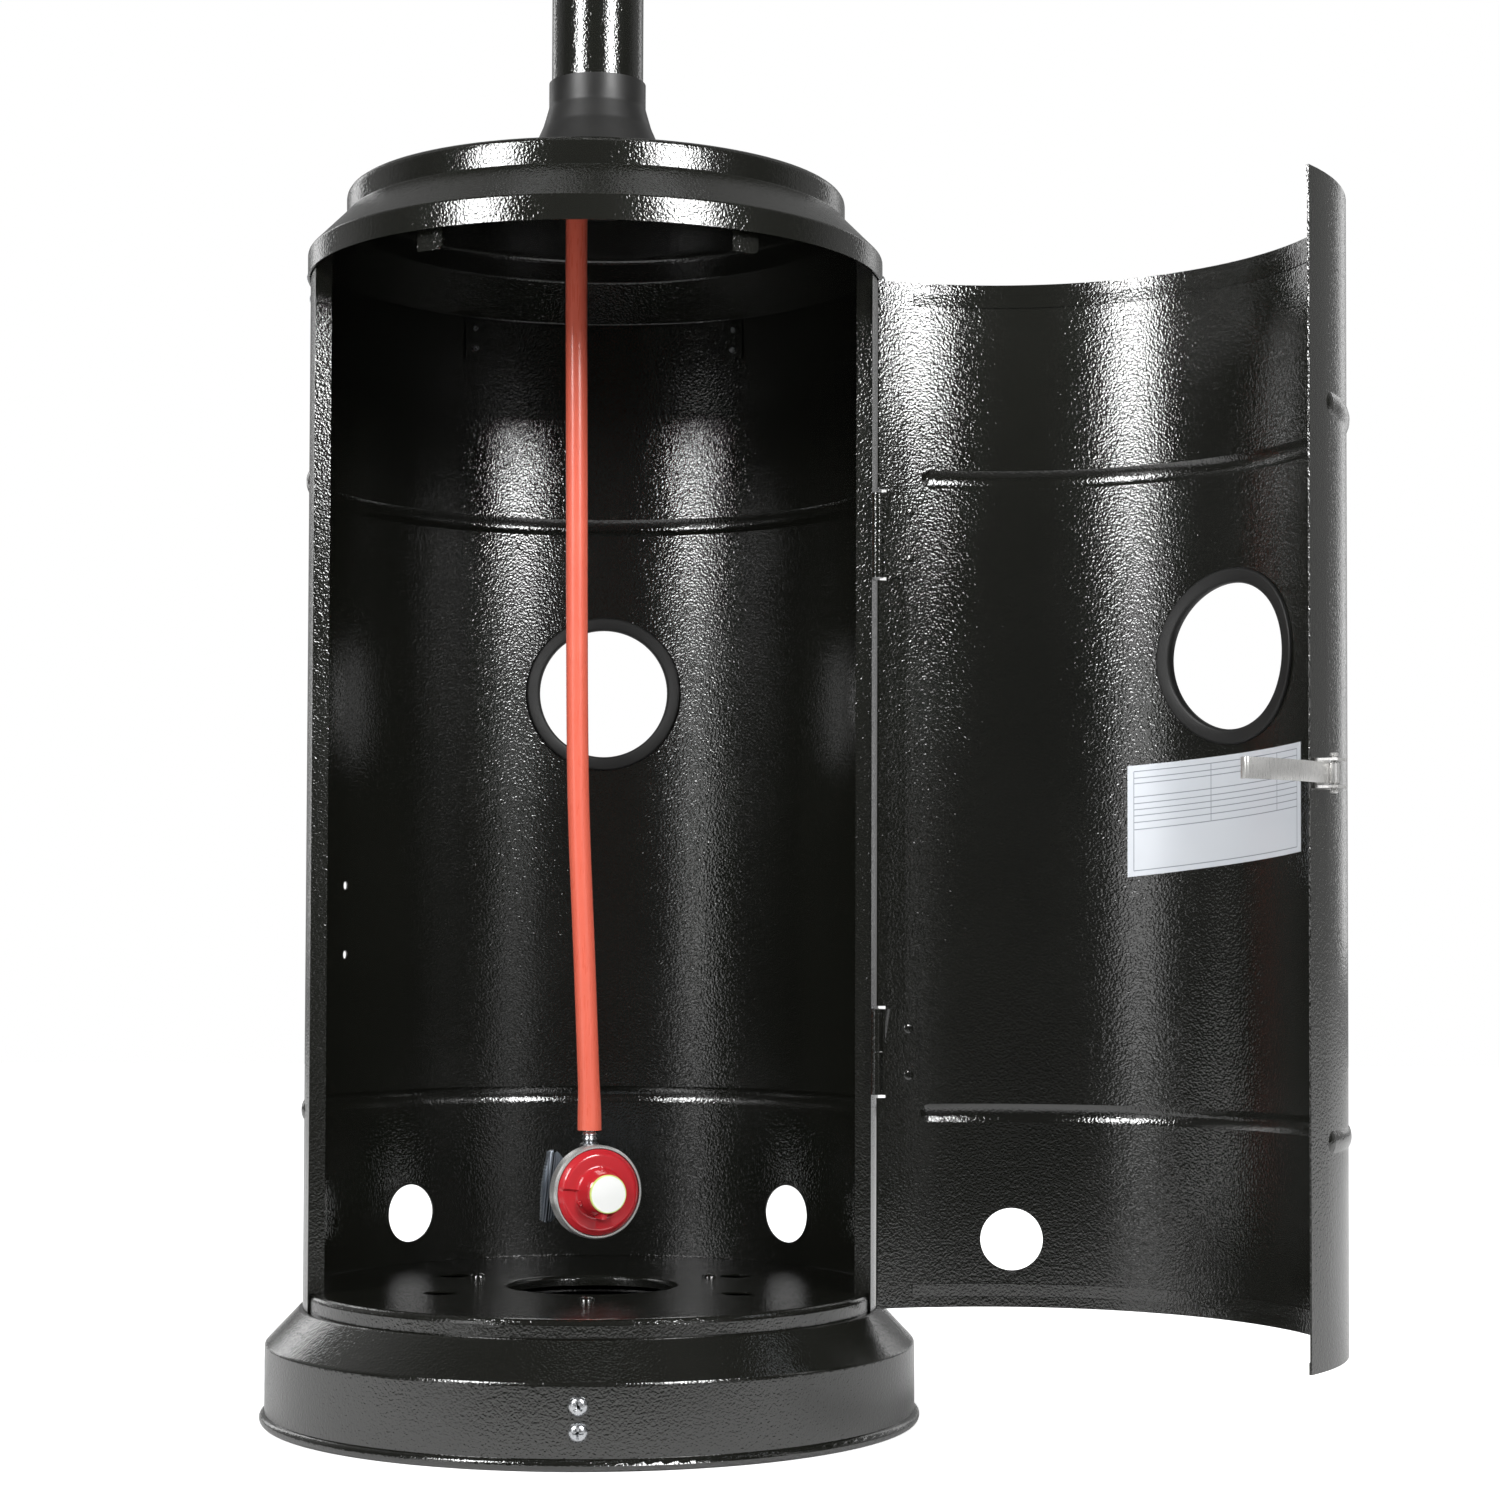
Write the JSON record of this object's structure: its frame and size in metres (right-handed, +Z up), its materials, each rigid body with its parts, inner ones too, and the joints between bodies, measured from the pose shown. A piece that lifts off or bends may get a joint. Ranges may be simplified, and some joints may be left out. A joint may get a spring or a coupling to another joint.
{
  "type": "mushroom patio heater",
  "caption": "Free-standing gas patio heater: a weighted base, a round bottle housing with a hinged door, a post, a perforated emitter and a broad round reflector.",
  "frame": {"origin": "middle of the ballast box's flat underside, where the heater stands on the ground", "axes": "+Z up along the post; the door's opening faces -Y; +X is to the right seen from the front"},
  "size_m": [0.8693, 0.8213, 2.1775],
  "materials": {
    "black_paint": "hammered semi-gloss powder coat",
    "zinc": "zinc plated",
    "stainless": "rolled stainless sheet",
    "black_plastic": "satin moulded",
    "black_rubber": "satin",
    "tank_plastic": "blow moulded",
    "hose_rubber": "smooth extruded",
    "red_plastic": "gloss moulded",
    "white_plastic": "gloss",
    "brass": "machined",
    "aluminium": "spun"
  },
  "bodies": {
    "root": {"base_shell": "black_paint", "ballast_box": "tank_plastic", "ballast_cap": "black_plastic", "base_brackets": "zinc", "base_screws": "zinc", "floor_pan": "black_paint", "pan_spacers": "zinc", "pan_bolts": "zinc", "housing_shell": "black_paint", "shell_screws": "zinc", "rear_grommet": "black_rubber", "housing_cap": "black_paint", "door_stop_tabs": "black_paint", "cap_straps": "black_paint", "cap_screws": "zinc", "fixed_leaves": "black_paint", "hinge_pins": "zinc", "fixed_leaf_screws": "zinc", "post_foot": "black_paint", "foot_bolts": "zinc", "post_collar": "black_plastic", "post": "black_paint", "hose_bush": "black_rubber", "hose_riser": "hose_rubber", "gas_hose": "hose_rubber", "regulator_nozzle": "zinc", "regulator_body": "zinc", "regulator_ring": "stainless", "regulator_cap": "red_plastic", "regulator_disc": "white_plastic", "head_bowl": "black_paint", "control_housing": "black_paint", "control_bezel": "stainless", "gas_valve": "brass", "igniter_body": "black_plastic", "burner_tube": "zinc", "burner_cup": "stainless", "burner_deck": "stainless", "pilot_bracket": "stainless", "thermocouple": "brass", "spark_electrode": "white_plastic", "tilt_switch": "black_plastic", "emitter_grid": "stainless", "emitter_top": "stainless", "reflector_studs": "zinc", "reflector_dome": "aluminium", "wing_nuts": "zinc"},
    "door": {"door_leaves": "black_paint", "door_leaf_screws": "zinc", "door_shell": "black_paint", "door_grommet": "black_rubber", "latch_bracket": "stainless", "latch_rivets": "stainless", "latch_pin": "stainless"},
    "latch_arm": {"latch_arm": "stainless"},
    "valve_plug": {"valve_plug": "brass"},
    "knob": {"control_knob": "black_plastic", "valve_stem": "zinc"},
    "igniter_button": {"igniter_button": "red_plastic"},
    "hand_nut": {"hand_nut": "zinc"}
  },
  "joints": [
    {"name": "door_hinge", "type": "hinge", "parent": "root", "child": "door", "pos_m": [0.19088, -0.05836, 0.42], "axis": [0, 0, 1], "range_deg": [-128.5, 26.5]},
    {"name": "latch_swing", "type": "hinge", "parent": "door", "child": "latch_arm", "pos_m": [0.43138, -0.3659, 0.419], "axis": [0, 0, 1], "range_deg": [-4, 95]},
    {"name": "valve_turn", "type": "hinge", "parent": "root", "child": "valve_plug", "pos_m": [0, -0.07, 1.756], "axis": [0, -1, 0], "range_deg": [0, 180]},
    {"name": "knob_push", "type": "slide", "parent": "valve_plug", "child": "knob", "axis": [0, 1, 0], "range_m": [0, 0.003], "stiffness_N_per_m": 1000},
    {"name": "igniter_press", "type": "slide", "parent": "root", "child": "igniter_button", "axis": [-0.5736, 0.8191, 0], "range_m": [0, 0.005], "stiffness_N_per_m": 1500},
    {"name": "hand_nut_spin", "type": "hinge", "parent": "root", "child": "hand_nut", "pos_m": [-0.002, 0, 0.153], "axis": [-0.3907, 0.9205, 0], "continuous": true}
  ]
}
